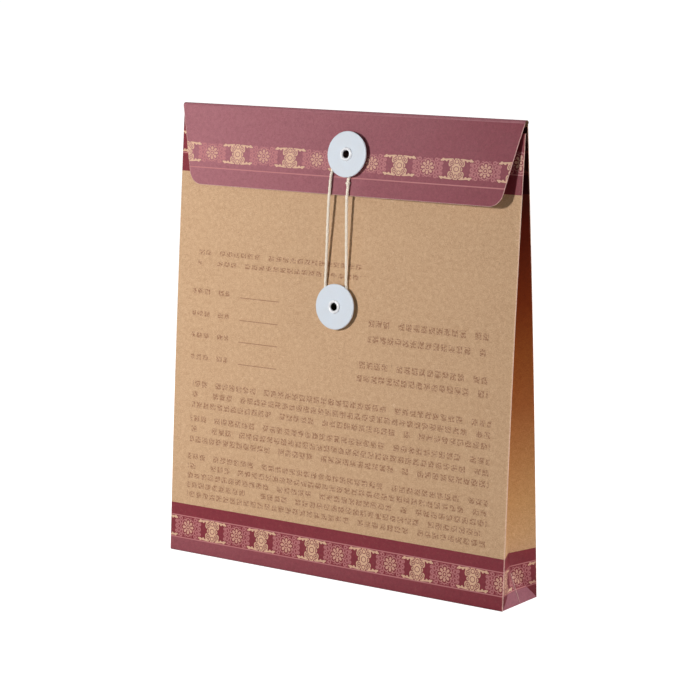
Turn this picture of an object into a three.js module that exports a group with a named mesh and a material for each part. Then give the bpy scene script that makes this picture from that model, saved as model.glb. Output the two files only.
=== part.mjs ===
// Kraft board folder with a block bottom, V-folded side gussets and a string-and-button closure.
// Millimetres, +Z up, the front faces -Y. The origin is the centre of the underside.
import * as THREE from "three";

// Sheet and its folds
const WIDTH = 225; // across the front
const DEPTH = 36; // front to back at the bottom
const PANEL_HEIGHT = 255; // up a panel, from its bottom crease to the top fold
const BOARD = 0.4; // thickness of the kraft board
const FIT = 0.2; // air between folded layers
const GLUE = 0.1; // glue film between layers that are stuck together
const CREASE_GAP = 0.3; // between two facets that meet at a crease
const CENTRE_GAP = 0.1; // from the closed mouth's middle to the nearest layer
const MOUTH_DROP = 5; // the front panel's top edge below the top fold
const GUSSET_SLOPE = 3.5; // how much higher the gusset's top edge is at the back panel

// Bottom flaps and glue strip
const OUTER_FLAP_SHORT = 0.7; // the outer bottom flap stops this far from the back panel
const INNER_FLAP_SHARE = 0.7; // the inner one covers this share of the depth
const TAB_LENGTH = 28;
const TAB_TAPER = 6;
const SEAM_WIDTH = 14;
const SEAM_MARGIN = 4; // bare ends of the glue strip, top and bottom

// Closure flap
const FLAP_LENGTH = 43.8; // from the top fold to the free edge
const FLAP_LEAN = 7.5; // degrees from plumb, a little off the front panel
const FLAP_TAPER = 8; // each side edge comes in this much
const FLAP_CORNER = 8.5; // radius of its lower corners

// Button washers, spacers and eyelets
const DISC_DIAMETER = 25;
const DISC_THICKNESS = 1;
const DISC_EDGE = 0.25; // rounding of the pressed edge
const SPACER_DIAMETER = 10;
const SPACER_THICKNESS = 2.2;
const HOLE_DIAMETER = 5.2; // punched through board, spacer and washer
const BARREL_DIAMETER = 4.8;
const BORE_DIAMETER = 4.2;
const FLANGE_DIAMETER = 7.4;
const FLANGE_HEIGHT = 1;
const CLINCH_DIAMETER = 7;
const CLINCH_HEIGHT = 0.5;
const UPPER_DISC = { x: 4.8, down: 21.6 }; // down the flap from the top fold
const LOWER_DISC = { x: -0.4, down: 104.2 }; // down the front panel from the top fold

// String
const STRING_DIAMETER = 1.6;
const LOOP_SPREAD = 1.1; // the loop bows out this much beside the lower spacer
const KNOT_WIDTH = 2.6;
const KNOT_LENGTH = 3.2;

// Faceting
const ROUND_STEPS = 40;
const FOLD_STEPS = 10;
const GUSSET_ROWS = 26;
const GUSSET_COLS = 6;
const FOOT_COLS = 7;
const SHEET_ARC_STEPS = 12;
const STRING_STEPS = 78;
const STRING_SIDES = 8;

// Worked out from the sizes above
const HALF_MOUTH = 3 * BOARD + GLUE + FIT + CENTRE_GAP;
const CREASE_Y = DEPTH / 2 - BOARD / 2;
const CREASE_Z = BOARD / 2;
const LEAN = Math.asin((CREASE_Y - (HALF_MOUTH - BOARD / 2)) / PANEL_HEIGHT);
const FLAP_TILT = THREE.MathUtils.degToRad(FLAP_LEAN);
const FOLD_RADIUS = HALF_MOUTH + FIT / 2;
const FOLD_Y = CREASE_Y - PANEL_HEIGHT * Math.sin(LEAN) - FOLD_RADIUS * Math.cos(LEAN);
const FOLD_Z = CREASE_Z + PANEL_HEIGHT * Math.cos(LEAN) - FOLD_RADIUS * Math.sin(LEAN);
const FOOT_LEAN = Math.acos((1 - Math.sin(LEAN)) / Math.cos(LEAN));
const FOOT_Z = BOARD / 2;

const KRAFT = { color: 0xc8a07a, roughness: 0.85, metalness: 0 };
const PRINTED = { color: 0x8a4450, roughness: 0.6, metalness: 0 };
const CARD = { color: 0xdde3e8, roughness: 0.6, metalness: 0 };
const EYELET = { color: 0xe8e8ea, roughness: 0.35, metalness: 0.4 };
const COTTON = { color: 0xeadbc4, roughness: 0.95, metalness: 0 };

const folder = new THREE.Group();

function addMesh(group, name, geometry, finish) {
  const mesh = new THREE.Mesh(geometry, new THREE.MeshStandardMaterial(finish));
  mesh.name = name;
  group.add(mesh);
  return mesh;
}

// A leaf is the frame of one leaning panel: x across, z up the panel and -y outwards.
// Its origin is on the bottom crease.
function leaf(turn) {
  const facing = new THREE.Group();
  facing.rotation.z = turn;
  const panel = new THREE.Group();
  panel.position.set(0, -CREASE_Y, CREASE_Z);
  panel.rotation.x = -LEAN;
  facing.add(panel);
  folder.add(facing);
  return panel;
}

const front = leaf(0);
const back = leaf(Math.PI);

// The flap's frame: its origin on the top fold's axis, -z down the flap and -y outwards.
const flap = new THREE.Group();
flap.position.set(0, FOLD_Y, FOLD_Z);
flap.rotation.x = -FLAP_TILT;
folder.add(flap);

// Extrudes a flat outline, drawn as x and z, by one board thickness from y inwards.
function sheet(outline, y) {
  const geometry = new THREE.ExtrudeGeometry(outline, {
    depth: BOARD,
    bevelEnabled: false,
    curveSegments: SHEET_ARC_STEPS,
  });
  geometry.rotateX(Math.PI / 2);
  geometry.translate(0, y + BOARD, 0);
  return geometry;
}

// Extrudes an outline drawn as x and y upwards from z.
function plate(outline, z) {
  const geometry = new THREE.ExtrudeGeometry(outline, { depth: BOARD, bevelEnabled: false });
  geometry.translate(0, 0, z);
  return geometry;
}

function punch(outline, x, z) {
  const hole = new THREE.Path();
  hole.absarc(x, z, HOLE_DIAMETER / 2, 0, 2 * Math.PI, true);
  outline.holes.push(hole);
  return outline;
}

function rectangle(x0, x1, y0, y1) {
  return new THREE.Shape([
    new THREE.Vector2(x0, y0),
    new THREE.Vector2(x1, y0),
    new THREE.Vector2(x1, y1),
    new THREE.Vector2(x0, y1),
  ]);
}

// A closed skin between two grids of points, outer[row][col] and inner[row][col].
function skin(outer, inner) {
  const rows = outer.length;
  const cols = outer[0].length;
  const at = (layer, row, col) => (layer * rows + row) * cols + col;
  const index = [];
  const quad = (a, b, c, d) => index.push(a, b, c, a, c, d);
  for (let r = 0; r < rows - 1; r++) {
    for (let c = 0; c < cols - 1; c++) {
      quad(at(0, r, c), at(0, r, c + 1), at(0, r + 1, c + 1), at(0, r + 1, c));
      quad(at(1, r, c), at(1, r + 1, c), at(1, r + 1, c + 1), at(1, r, c + 1));
    }
    quad(at(0, r, 0), at(0, r + 1, 0), at(1, r + 1, 0), at(1, r, 0));
    quad(at(0, r, cols - 1), at(1, r, cols - 1), at(1, r + 1, cols - 1), at(0, r + 1, cols - 1));
  }
  for (let c = 0; c < cols - 1; c++) {
    quad(at(0, 0, c), at(1, 0, c), at(1, 0, c + 1), at(0, 0, c + 1));
    quad(at(0, rows - 1, c), at(0, rows - 1, c + 1), at(1, rows - 1, c + 1), at(1, rows - 1, c));
  }
  const points = [...outer.flat(), ...inner.flat()];
  const geometry = new THREE.BufferGeometry().setFromPoints(points);
  geometry.setIndex(index);
  geometry.computeVertexNormals();
  return geometry;
}

// Turns a skin inside out where mirroring has reversed it.
function flipped(geometry) {
  const index = geometry.index;
  for (let i = 0; i < index.count; i += 3) {
    const second = index.getX(i + 1);
    index.setX(i + 1, index.getX(i + 2));
    index.setX(i + 2, second);
  }
  geometry.computeVertexNormals();
  return geometry;
}

// Panels

const panelTop = PANEL_HEIGHT - CREASE_GAP;
const frontTop = PANEL_HEIGHT - MOUTH_DROP;
const lowerHole = PANEL_HEIGHT - LOWER_DISC.down;
const frontOutline = punch(rectangle(-WIDTH / 2, WIDTH / 2, 0, frontTop), LOWER_DISC.x, lowerHole);
addMesh(front, "front_panel", sheet(frontOutline, -BOARD / 2), KRAFT);
addMesh(back, "back_panel", sheet(rectangle(-WIDTH / 2, WIDTH / 2, 0, panelTop), -BOARD / 2), KRAFT);

const seamEdge = WIDTH / 2 - BOARD - FIT;
const seamOutline = rectangle(seamEdge - SEAM_WIDTH, seamEdge, SEAM_MARGIN, frontTop - SEAM_MARGIN);
addMesh(back, "side_seam_tab", sheet(seamOutline, BOARD / 2 + GLUE), KRAFT);

// Gussets

// One gusset half hangs on a panel at a line this far inside the panel's middle.
const plainInset = BOARD + FIT;
const seamInset = plainInset + GLUE + BOARD;
const hingeX = WIDTH / 2 - BOARD / 2;

// How far one half reaches from its hinge line to the centre crease.
const halfWidth = (inset) => CREASE_Y - CREASE_GAP / 2 - inset;

// The half's turn from the flat side: nothing at the bottom, nearly a right angle at the closed mouth.
function foldAngle(up, inset) {
  const width = halfWidth(inset);
  const reach = (CREASE_Y - CREASE_GAP / 2 - up * Math.sin(LEAN)) / Math.cos(LEAN) - inset;
  const radius = Math.hypot(width, BOARD / 2);
  return Math.atan2(BOARD / 2, width) + Math.acos(Math.min(1, reach / radius));
}

// A point of the right-hand gusset in its leaf.
// It is given across from the hinge line, up the panel, and off the middle of the board.
function gussetPoint(across, up, off, inset) {
  const angle = foldAngle(up, inset);
  const x = hingeX - across * Math.sin(angle) + off * Math.cos(angle);
  const y = inset + across * Math.cos(angle) + off * Math.sin(angle);
  return new THREE.Vector3(x, y, up);
}

function gussetHalf(inset, slope) {
  const width = halfWidth(inset);
  const start = -BOARD / 4;
  const layers = [BOARD / 2, -BOARD / 2].map((off) => {
    const grid = [];
    for (let r = 0; r <= GUSSET_ROWS; r++) {
      const row = [];
      for (let c = 0; c <= GUSSET_COLS; c++) {
        const across = start + (width - start) * (c / GUSSET_COLS);
        const low = Math.max(across, 0) + 2 * CREASE_GAP;
        const high = frontTop + slope * (1 - Math.max(across, 0) / width);
        row.push(gussetPoint(across, low + (high - low) * (r / GUSSET_ROWS), off, inset));
      }
      grid.push(row);
    }
    return grid;
  });
  return skin(layers[0], layers[1]);
}

function mirrored(geometry) {
  geometry.scale(-1, 1, 1);
  return flipped(geometry);
}

addMesh(front, "gusset_right_front", gussetHalf(plainInset, 0), KRAFT);
addMesh(front, "gusset_left_front", mirrored(gussetHalf(plainInset, 0)), KRAFT);
addMesh(back, "gusset_right_back", mirrored(gussetHalf(plainInset, GUSSET_SLOPE)), KRAFT);
addMesh(back, "gusset_left_back", gussetHalf(seamInset, GUSSET_SLOPE), KRAFT);

// The foot is the triangle between the side's bottom edge and the two gusset halves.
// The right-hand front half's own points set its upper edge, mirrored for the back.
function footEdge(along) {
  const across = halfWidth(plainInset) - Math.abs(along) + CREASE_GAP / 2;
  const point = gussetPoint(across, across, BOARD / 2, plainInset);
  const y = -CREASE_Y + point.y * Math.cos(LEAN) + point.z * Math.sin(LEAN);
  const z = CREASE_Z - point.y * Math.sin(LEAN) + point.z * Math.cos(LEAN);
  return new THREE.Vector3(point.x, along < 0 ? y : -y, z);
}

function foot() {
  const reach = halfWidth(seamInset) - 2 * CREASE_GAP;
  const outer = [[], []];
  const inner = [[], []];
  for (let c = 0; c <= 2 * FOOT_COLS; c++) {
    const along = -reach + (reach * c) / FOOT_COLS;
    const top = footEdge(along === 0 ? -1e-6 : along);
    const bottom = new THREE.Vector3(WIDTH / 2, top.y, FOOT_Z);
    const lean = Math.atan2(bottom.x - top.x, top.z - bottom.z);
    const depth = new THREE.Vector3(-BOARD / Math.cos(lean), 0, 0);
    outer[0].push(bottom);
    outer[1].push(top);
    inner[0].push(bottom.clone().add(depth));
    inner[1].push(top.clone().add(depth));
  }
  return skin(outer, inner);
}

addMesh(folder, "gusset_foot_right", foot(), KRAFT);
addMesh(folder, "gusset_foot_left", mirrored(foot()), KRAFT);

// Block bottom: outer flap under inner flap under the two side tabs

const bottomEdge = DEPTH / 2 - BOARD - FIT;
const outerZ = 0;
const innerZ = outerZ + BOARD + GLUE;
const tabZ = innerZ + BOARD + GLUE;
// A layer's ends stay clear of the leaning feet.
const sideEdge = (z) => WIDTH / 2 - BOARD - FIT - (z + BOARD) * Math.tan(FOOT_LEAN);
// A layer's edge stays clear of the leaning panels.
const faceEdge = (z) => bottomEdge - (z + BOARD) * Math.tan(LEAN);

const outerX = sideEdge(outerZ);
const outerFront = -faceEdge(outerZ);
addMesh(
  folder,
  "bottom_outer_flap",
  plate(rectangle(-outerX, outerX, outerFront, -outerFront - OUTER_FLAP_SHORT), outerZ),
  PRINTED,
);

const innerX = sideEdge(innerZ);
const innerBack = faceEdge(innerZ);
addMesh(
  folder,
  "bottom_inner_flap",
  plate(rectangle(-innerX, innerX, innerBack - DEPTH * INNER_FLAP_SHARE, innerBack), innerZ),
  KRAFT,
);

function bottomTab(side) {
  const x = sideEdge(tabZ);
  const y = faceEdge(tabZ);
  const corners = [
    [x, -y],
    [x, y],
    [x - TAB_LENGTH, y - TAB_TAPER],
    [x - TAB_LENGTH, -y + TAB_TAPER],
  ];
  return plate(new THREE.Shape(corners.map(([px, py]) => new THREE.Vector2(side * px, py))), tabZ);
}

addMesh(folder, "bottom_tab_right", bottomTab(1), KRAFT);
addMesh(folder, "bottom_tab_left", bottomTab(-1), KRAFT);

// Closure flap and the rounded fold that joins it to the back panel

function flapOutline() {
  const top = -CREASE_GAP;
  const low = -FLAP_LENGTH;
  const half = WIDTH / 2;
  const tip = half - FLAP_TAPER;
  const slant = new THREE.Vector2(half - tip, top - low).normalize();
  // From the sharp lower corner, both edges give up the same length to the arc.
  const turn = Math.acos(slant.x);
  const cut = FLAP_CORNER * Math.tan((Math.PI - turn) / 2);
  const outline = new THREE.Shape();
  outline.moveTo(-half, top);
  outline.lineTo(-tip - slant.x * cut, low + slant.y * cut);
  outline.absarc(-tip + cut, low + FLAP_CORNER, FLAP_CORNER, 1.5 * Math.PI - turn, 1.5 * Math.PI, false);
  outline.lineTo(tip - cut, low);
  outline.absarc(tip - cut, low + FLAP_CORNER, FLAP_CORNER, -Math.PI / 2, turn - Math.PI / 2, false);
  outline.lineTo(half, top);
  return outline;
}

const flapInside = FOLD_RADIUS - BOARD / 2;
const flapHole = punch(flapOutline(), UPPER_DISC.x, -UPPER_DISC.down);
addMesh(flap, "closure_flap", sheet(flapHole, -flapInside - BOARD), PRINTED);

// The fold is an arc from the back panel's plane over the mouth to the flap's plane.
function foldGeometry() {
  const section = new THREE.Shape();
  const from = LEAN;
  const to = Math.PI - FLAP_TILT;
  section.absarc(0, 0, flapInside + BOARD, from, to, false);
  section.absarc(0, 0, flapInside, to, from, true);
  const geometry = new THREE.ExtrudeGeometry(section, {
    depth: WIDTH,
    bevelEnabled: false,
    curveSegments: FOLD_STEPS,
  });
  geometry.rotateX(Math.PI / 2);
  geometry.rotateZ(Math.PI / 2);
  geometry.translate(-WIDTH / 2, FOLD_Y, FOLD_Z);
  return geometry;
}

addMesh(folder, "flap_fold", foldGeometry(), PRINTED);

// Buttons: a spacer on the sheet, a washer that turns, and an eyelet through the three

function turned(profile) {
  return new THREE.LatheGeometry(
    profile.map(([radius, height]) => new THREE.Vector2(radius, height)),
    ROUND_STEPS,
  );
}

function ring(outside, low, high, edge = 0) {
  const inside = HOLE_DIAMETER / 2;
  const rounded = [
    [outside - edge, low],
    [outside, low + edge],
    [outside, high - edge],
    [outside - edge, high],
  ];
  const square = [
    [outside, low],
    [outside, high],
  ];
  return turned([[inside, low], ...(edge ? rounded : square), [inside, high], [inside, low]]);
}

const spacerLow = GLUE;
const spacerHigh = spacerLow + SPACER_THICKNESS;
const discLow = spacerHigh + GLUE;
const discHigh = discLow + DISC_THICKNESS;
const flangeLow = discHigh + GLUE;
const clinchHigh = -BOARD - GLUE;

function eyelet() {
  const bore = BORE_DIAMETER / 2;
  const barrel = BARREL_DIAMETER / 2;
  const flange = FLANGE_DIAMETER / 2;
  const clinch = CLINCH_DIAMETER / 2;
  const top = flangeLow + FLANGE_HEIGHT;
  const bottom = clinchHigh - CLINCH_HEIGHT;
  const lip = (flange - bore) / 2;
  const profile = [
    [bore, bottom],
    [clinch, bottom],
    [clinch, clinchHigh],
    [barrel, clinchHigh],
    [barrel, flangeLow],
    [flange, flangeLow],
  ];
  // The flange is a rolled dome, half an ellipse from its rim to the bore.
  for (let i = 1; i < 6; i++) {
    const a = (Math.PI * i) / 6;
    profile.push([flange - lip + lip * Math.cos(a), flangeLow + (top - flangeLow) * Math.sin(a)]);
  }
  profile.push([bore, flangeLow], [bore, bottom]);
  return turned(profile);
}

// A button's own frame has +Y pointing out of the sheet, its origin on the sheet's outer face.
function buttonFrame(parent, x, z, outerFace) {
  const frame = new THREE.Group();
  frame.position.set(x, outerFace, z);
  frame.rotation.x = Math.PI;
  parent.add(frame);
  return frame;
}

function addButton(name, frame) {
  addMesh(frame, `${name}_spacer`, ring(SPACER_DIAMETER / 2, spacerLow, spacerHigh), CARD);
  addMesh(frame, `${name}_disc`, ring(DISC_DIAMETER / 2, discLow, discHigh, DISC_EDGE), CARD);
  addMesh(frame, `${name}_eyelet`, eyelet(), EYELET);
}

const upperButton = buttonFrame(flap, UPPER_DISC.x, -UPPER_DISC.down, -flapInside - BOARD);
const lowerButton = buttonFrame(front, LOWER_DISC.x, lowerHole, -BOARD / 2);
addButton("upper", upperButton);
addButton("lower", lowerButton);

// String: one length round both spacers, its ends tied together in a knot under the upper washer

folder.updateMatrixWorld(true);
const stringHeight = spacerLow + SPACER_THICKNESS / 2;
const hubReach = (SPACER_DIAMETER + STRING_DIAMETER) / 2 + FIT;
// Round a spacer the string lies in a button's frame: x across, z down the sheet.
const nearUpper = (x, down, rise = 0) =>
  new THREE.Vector3(x, stringHeight + rise, down).applyMatrix4(upperButton.matrixWorld);
const nearLower = (x, down, rise = 0) =>
  new THREE.Vector3(x, stringHeight + rise, down).applyMatrix4(lowerButton.matrixWorld);

const flapEdgeDown = FLAP_LENGTH - UPPER_DISC.down;

function hubArc(place, radius, centreDown, fromAngle, toAngle, steps) {
  const points = [];
  for (let i = 0; i <= steps; i++) {
    const a = THREE.MathUtils.degToRad(fromAngle + ((toAngle - fromAngle) * i) / steps);
    points.push(place(radius * Math.cos(a), centreDown + radius * Math.sin(a)));
  }
  return points;
}

const lowerRadius = hubReach + LOOP_SPREAD;
const route = [
  nearUpper(1.1, 18.6),
  nearUpper(1.05, flapEdgeDown - 1),
  nearUpper(1.0, flapEdgeDown + 1.5),
  nearLower(5.9, -20, 0.6),
  nearLower(5.8, -11),
  ...hubArc(nearLower, lowerRadius, -LOOP_SPREAD, -10, 190, 12),
  nearLower(-8, -10),
  nearLower(-7.6, -20, 0.6),
  nearUpper(-10.8, flapEdgeDown + 1.5),
  nearUpper(-10.7, flapEdgeDown - 1),
  nearUpper(-10, 9.5),
  ...hubArc(nearUpper, hubReach, 0, 170, 380, 12),
  nearUpper(2.4, 10.2),
  nearUpper(1.2, 12.6),
];
const stringCurve = new THREE.CatmullRomCurve3(route, false, "centripetal");

function stringGeometry() {
  const section = new THREE.Shape();
  for (let i = 0; i < STRING_SIDES; i++) {
    const a = (2 * Math.PI * i) / STRING_SIDES;
    const x = (STRING_DIAMETER / 2) * Math.cos(a);
    const y = (STRING_DIAMETER / 2) * Math.sin(a);
    if (i === 0) {
      section.moveTo(x, y);
    } else {
      section.lineTo(x, y);
    }
  }
  section.closePath();
  return new THREE.ExtrudeGeometry(section, {
    steps: STRING_STEPS,
    bevelEnabled: false,
    extrudePath: stringCurve,
  });
}

addMesh(folder, "tie_string", stringGeometry(), COTTON);

// The knot sits between the string's two ends.
function knotGeometry() {
  const geometry = new THREE.SphereGeometry(0.5, 14, 10);
  geometry.scale(KNOT_WIDTH, KNOT_WIDTH, KNOT_LENGTH);
  return geometry;
}

const knotRise = KNOT_WIDTH / 2 + FIT - stringHeight;
const knotMiddle = nearUpper(1.15, 15.6, knotRise);
const knot = addMesh(folder, "string_knot", knotGeometry(), COTTON);
knot.position.copy(knotMiddle);
knot.rotation.x = -FLAP_TILT;

// Least gap of the string to itself, between stretches more than three diameters apart along it.
function leastGap(curve) {
  const count = 400;
  const points = curve.getSpacedPoints(count);
  const step = curve.getLength() / count;
  const apart = Math.ceil((3 * STRING_DIAMETER) / step);
  let least = Infinity;
  for (let i = 0; i <= count; i++) {
    for (let j = i + apart; j <= count; j++) {
      least = Math.min(least, points[i].distanceTo(points[j]));
    }
  }
  return least - STRING_DIAMETER;
}

console.log(`string: ${stringCurve.getLength().toFixed(1)} mm long`);
console.log(`string: least gap to itself ${leastGap(stringCurve).toFixed(2)} mm`);

export default folder;
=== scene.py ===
import math

import bpy
from mathutils import Matrix, Vector


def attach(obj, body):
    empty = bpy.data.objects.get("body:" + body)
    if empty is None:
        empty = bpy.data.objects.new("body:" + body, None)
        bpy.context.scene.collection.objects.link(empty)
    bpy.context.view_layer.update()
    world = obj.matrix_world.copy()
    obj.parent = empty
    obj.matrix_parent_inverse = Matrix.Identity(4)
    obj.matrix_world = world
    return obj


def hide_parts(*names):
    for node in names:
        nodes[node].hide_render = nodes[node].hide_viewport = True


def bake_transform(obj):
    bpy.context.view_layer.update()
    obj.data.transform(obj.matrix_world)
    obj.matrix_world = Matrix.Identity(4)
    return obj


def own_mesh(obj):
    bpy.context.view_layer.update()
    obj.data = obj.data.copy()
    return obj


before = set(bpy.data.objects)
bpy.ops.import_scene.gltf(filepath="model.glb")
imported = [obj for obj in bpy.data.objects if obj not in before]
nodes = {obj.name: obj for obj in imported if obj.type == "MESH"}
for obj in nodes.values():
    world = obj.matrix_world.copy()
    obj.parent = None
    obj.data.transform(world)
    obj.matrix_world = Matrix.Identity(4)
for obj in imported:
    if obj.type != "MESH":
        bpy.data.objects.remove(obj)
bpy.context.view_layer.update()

# Sizes of the folder in millimetres, as the solids have them
MM = 0.001
WIDTH = 225
DEPTH = 36
BOARD = 0.4
FIT = 0.2
GLUE = 0.1
CENTRE_GAP = 0.1
PANEL_HEIGHT = 255
MOUTH_DROP = 5
GUSSET_SLOPE = 3.5
HALF_MOUTH = 3 * BOARD + GLUE + FIT + CENTRE_GAP
CREASE_Y = DEPTH / 2 - BOARD / 2
PLAIN_INSET = BOARD + FIT
FOOT_REACH = CREASE_Y - PLAIN_INSET
CREASE_Z = BOARD / 2
LEAN = math.asin((CREASE_Y - (HALF_MOUTH - BOARD / 2)) / PANEL_HEIGHT)
FLAP_TILT = math.radians(7.5)
FOLD_RADIUS = HALF_MOUTH + FIT / 2
FOLD_Y = CREASE_Y - PANEL_HEIGHT * math.sin(LEAN) - FOLD_RADIUS * math.cos(LEAN)
FOLD_Z = CREASE_Z + PANEL_HEIGHT * math.cos(LEAN) - FOLD_RADIUS * math.sin(LEAN)
FLAP_LENGTH = 43.8
FLAP_TAPER = 8
FLAP_CORNER = 8.5
UPPER = (4.8, 21.6)  # a button's middle, across and down from the top fold
LOWER = (-0.4, 104.2)
HOLE_RADIUS = 2.6
HOLE_PATCH = 6  # half the side of the square of mesh round a hole
DISC_RADIUS = 12.5
SPACER_RADIUS = 5.0
STRING_RADIUS = 0.8
SEAM_WIDTH = 14
SEAM_MARGIN = 4
FRONT_TOP = PANEL_HEIGHT - MOUTH_DROP
CREASE_BEND = 0.6  # radius of a crease, at the middle of the board
FLAP_EDGE = math.hypot(FLAP_LENGTH, FLAP_TAPER)
CORNER_NORMAL = (FLAP_LENGTH / FLAP_EDGE, FLAP_TAPER / FLAP_EDGE)
CORNER_T = FLAP_CORNER - FLAP_LENGTH
CORNER_X = WIDTH / 2 + CORNER_T * FLAP_TAPER / FLAP_LENGTH - FLAP_CORNER / CORNER_NORMAL[0]

# Camera, from a fit to the corners of the folder in the photograph


def make_camera():
    yaw, pitch, roll = (math.radians(a) for a in (35.325, 9.767, 0.173))
    distance = 1317.3  # millimetres from the target
    target = Vector((0, 0, 125))
    picture = 700  # pixels across, the measure of the next three too
    focal = 2402.4
    centre_x, centre_y = 347.48, 350.98
    ahead = Vector((-math.sin(yaw) * math.cos(pitch), math.cos(yaw) * math.cos(pitch), -math.sin(pitch)))
    right = Vector((math.cos(yaw), math.sin(yaw), 0))
    up = right.cross(ahead)
    right_rolled = right * math.cos(roll) + up * math.sin(roll)
    up_rolled = up * math.cos(roll) - right * math.sin(roll)
    data = bpy.data.cameras.new("camera")
    data.sensor_width = 36
    data.lens = focal / picture * data.sensor_width
    data.shift_x = (picture / 2 - centre_x) / picture
    data.shift_y = (centre_y - picture / 2) / picture
    camera = bpy.data.objects.new("camera", data)
    bpy.context.collection.objects.link(camera)
    turn = Matrix((right_rolled, up_rolled, -ahead)).transposed().to_4x4()
    turn.translation = (target - ahead * distance) * MM
    camera.matrix_world = turn
    bpy.context.scene.camera = camera


make_camera()

# Shader values that combine with plain arithmetic


class Net:
    """Adds nodes and links to a node tree."""

    def __init__(self, tree):
        self.tree = tree

    def node(self, kind, **settings):
        made = self.tree.nodes.new(kind)
        for key, value in settings.items():
            setattr(made, key, value)
        return made

    def put(self, socket, value):
        if isinstance(value, Value):
            value = value.socket
        if isinstance(value, bpy.types.NodeSocket):
            self.tree.links.new(value, socket)
        else:
            socket.default_value = value

    def math(self, operation, *values, clamp=False):
        made = self.node("ShaderNodeMath", operation=operation, use_clamp=clamp)
        for socket, value in zip(made.inputs, values):
            self.put(socket, value)
        return Value(self, made.outputs[0])

    def vector(self, x, y, z=0.0):
        made = self.node("ShaderNodeCombineXYZ")
        for socket, value in zip(made.inputs, (x, y, z)):
            self.put(socket, value)
        return made.outputs[0]

    def split(self, vector):
        made = self.node("ShaderNodeSeparateXYZ")
        self.put(made.inputs[0], vector)
        return [Value(self, made.outputs[i]) for i in range(3)]

    def noise(self, vector, scale, detail=2.0, roughness=0.5, distortion=0.0):
        made = self.node("ShaderNodeTexNoise")
        self.put(made.inputs["Vector"], vector)
        made.inputs["Scale"].default_value = scale
        made.inputs["Detail"].default_value = detail
        made.inputs["Roughness"].default_value = roughness
        made.inputs["Distortion"].default_value = distortion
        return Value(self, made.outputs["Fac"])

    def mix(self, factor, a, b, blend="MIX"):
        made = self.node("ShaderNodeMix", data_type="RGBA", blend_type=blend)
        self.put(made.inputs["Factor"], factor)
        self.put(made.inputs["A"], a)
        self.put(made.inputs["B"], b)
        return made.outputs["Result"]


class Value:
    """An output socket with arithmetic."""

    def __init__(self, net, socket):
        self.net = net
        self.socket = socket

    def __add__(self, other):
        return self.net.math("ADD", self, other)

    def __sub__(self, other):
        return self.net.math("SUBTRACT", self, other)

    def __rsub__(self, other):
        return self.net.math("SUBTRACT", other, self)

    def __mul__(self, other):
        return self.net.math("MULTIPLY", self, other)

    def __truediv__(self, other):
        return self.net.math("DIVIDE", self, other)

    __radd__ = __add__
    __rmul__ = __mul__

    def __abs__(self):
        return self.net.math("ABSOLUTE", self)

    def least(self, other):
        return self.net.math("MINIMUM", self, other)

    def most(self, other):
        return self.net.math("MAXIMUM", self, other)

    def above(self, edge, soft):
        """0 below the edge, 1 above it, with a soft step."""
        return self.net.math("MULTIPLY_ADD", self, 1 / soft, 0.5 - edge / soft, clamp=True)

    def below(self, edge, soft):
        """1 below the edge, 0 above it."""
        return self.net.math("MULTIPLY_ADD", self, -1 / soft, 0.5 + edge / soft, clamp=True)

    def wrapped(self, period):
        """Signed distance from the nearest multiple of the period."""
        return self.net.math("WRAP", self, period / 2, -period / 2)


def linear(r, g, b):
    """An sRGB colour of 0 to 255 as linear RGBA."""

    def one(c):
        c /= 255
        return c / 12.92 if c <= 0.04045 else ((c + 0.055) / 1.055) ** 2.4

    return (one(r), one(g), one(b), 1.0)


def new_material(name):
    material = bpy.data.materials.new(name)
    material.use_nodes = True
    net = Net(material.node_tree)
    shader = material.node_tree.nodes["Principled BSDF"]
    return material, net, shader


def joined(total, mask):
    """Adds a mask to the masks so far."""
    return mask if total is None else total.most(mask)


def add_bump(net, shader, height, strength, distance):
    bump = net.node("ShaderNodeBump")
    bump.inputs["Strength"].default_value = strength
    bump.inputs["Distance"].default_value = distance
    net.put(bump.inputs["Height"], height)
    net.put(shader.inputs["Normal"], bump.outputs[0])


# Printed border: strapwork crosses and flower roundels, drawn from distances to lines and rings

MOTIF_PITCH = 35.1  # from one cross to the next
SOFT = 0.16  # blur of the print's edges


def to_point(net, x, y, cx, cy):
    dx, dy = x - cx, y - cy
    return net.math("SQRT", dx * dx + dy * dy)


def to_ring(net, x, y, cx, cy, radius):
    return abs(to_point(net, x, y, cx, cy) - radius)


def to_line(net, x, y, ax, ay, bx, by):
    ux, uy = bx - ax, by - ay
    px, py = x - ax, y - ay
    along = net.math("MULTIPLY_ADD", px, ux / (ux * ux + uy * uy), py * (uy / (ux * ux + uy * uy)), clamp=True)
    dx, dy = px - along * ux, py - along * uy
    return net.math("SQRT", dx * dx + dy * dy)


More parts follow.
